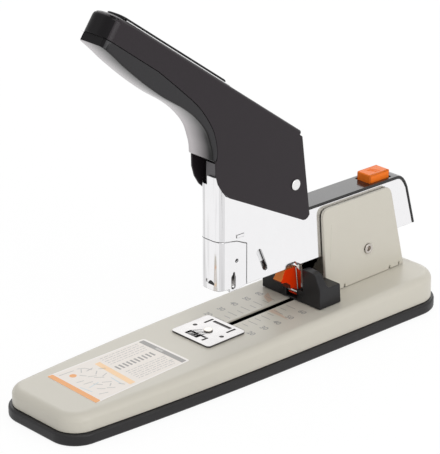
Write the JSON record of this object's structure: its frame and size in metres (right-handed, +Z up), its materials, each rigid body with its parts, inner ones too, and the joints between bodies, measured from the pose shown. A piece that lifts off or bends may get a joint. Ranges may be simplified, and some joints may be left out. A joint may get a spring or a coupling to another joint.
{
  "type": "heavy duty stapler",
  "caption": "Heavy duty desk stapler: long weighted base, hinged chrome head, raised black lever handle, slide-out staple magazine and sliding depth guide.",
  "frame": {"origin": "on the table, under the middle of the base", "axes": "+X from the nose to the hinged rear, +Y to the far side, +Z up"},
  "size_m": [0.285, 0.074, 0.2228],
  "materials": {
    "black_plastic": "fine grained moulded black plastic",
    "grey_paint": "warm light grey baked paint, satin",
    "rubber": "matt black rubber",
    "steel": "plain zinc plated steel",
    "chrome": "bright nickel chrome plate",
    "black_steel": "black baked paint, satin",
    "black_gloss": "glossy black plastic",
    "orange": "bright orange moulded plastic",
    "spring_wire": "bright drawn wire"
  },
  "bodies": {
    "base": {"base_tray": "black_plastic", "base_cover": "grey_paint", "foot_1": "rubber", "foot_2": "rubber", "foot_3": "rubber", "foot_4": "rubber", "cover_screw_1": "steel", "cover_screw_2": "steel", "cover_screw_3": "steel", "cover_screw_4": "steel", "rear_bracket": "grey_paint", "bracket_bolt_1": "steel", "bracket_bolt_2": "steel", "head_pivot_pin": "steel", "lift_spring": "spring_wire", "anvil_rivet": "steel", "anvil_washer": "steel"},
    "head": {"head_frame": "chrome", "top_strip": "black_gloss", "head_spacer": "steel", "lift_seat": "steel", "spring_shelf": "steel", "button_shelf": "steel", "handle_pin": "steel", "button_spring": "spring_wire", "return_spring": "spring_wire"},
    "handle": {"handle_shell": "black_steel", "handle_grip": "black_plastic", "handle_pad": "black_plastic", "handle_arm": "steel", "driver_pin": "steel"},
    "driver": {"driver_block": "steel", "driver_blade": "steel"},
    "magazine": {"magazine_cap": "chrome", "magazine_core": "steel", "magazine_tail": "steel", "pusher_rod": "steel", "staple_strip": "spring_wire", "pusher_spring": "spring_wire"},
    "pusher": {"pusher": "black_plastic"},
    "button": {"release_button": "orange"},
    "guide": {"depth_guide": "black_plastic", "guide_clamp": "steel", "guide_screw": "steel", "lever_pin": "steel"},
    "lever": {"guide_lever": "orange", "guide_wire": "spring_wire"},
    "anvil": {"anvil_plate": "chrome"}
  },
  "joints": [
    {"name": "head_hinge", "type": "hinge", "parent": "base", "child": "head", "pos_m": [0.0991, 0, 0.0416], "axis": [0, 1, 0], "range_deg": [-11.3, 0], "stiffness_Nm_per_rad": 4, "springref_deg": 14.32, "deforming": ["lift_spring"]},
    {"name": "handle_hinge", "type": "hinge", "parent": "head", "child": "handle", "pos_m": [0.0398, 0, 0.0967], "axis": [0, 1, 0], "range_deg": [-35.5, 0], "stiffness_Nm_per_rad": 0.8, "springref_deg": 28.65, "deforming": ["return_spring"]},
    {"name": "driver_slide", "type": "slide", "parent": "head", "child": "driver", "axis": [0, 0, 1], "range_m": [-0.02855, 0]},
    {"name": "magazine_slide", "type": "slide", "parent": "head", "child": "magazine", "axis": [-1, 0, 0], "range_m": [0, 0.11]},
    {"name": "pusher_slide", "type": "slide", "parent": "magazine", "child": "pusher", "axis": [1, 0, 0], "range_m": [0, 0.03], "stiffness_N_per_m": 40, "springref_m": -0.02, "deforming": ["pusher_spring"]},
    {"name": "button_press", "type": "slide", "parent": "head", "child": "button", "axis": [0, 0, 1], "range_m": [-0.0025, 0], "stiffness_N_per_m": 300, "springref_m": 0.002, "deforming": ["button_spring"]},
    {"name": "guide_slide", "type": "slide", "parent": "base", "child": "guide", "axis": [0.9998, 0, 0.02], "range_m": [-0.025, 0]},
    {"name": "lever_tilt", "type": "hinge", "parent": "guide", "child": "lever", "pos_m": [0.04929, 0, 0.02649], "axis": [0, 1, 0], "range_deg": [-20, 0], "stiffness_Nm_per_rad": 0.01, "springref_deg": 17.19},
    {"name": "anvil_turn", "type": "hinge", "parent": "base", "child": "anvil", "pos_m": [-0.017, 0, 0.01996], "axis": [-0.02, 0, 0.9998], "range_deg": [0, 180]}
  ],
  "couplings": [
    {"joint": "driver_slide", "follows": "handle_hinge", "m_per_rad": 0.04607}
  ]
}
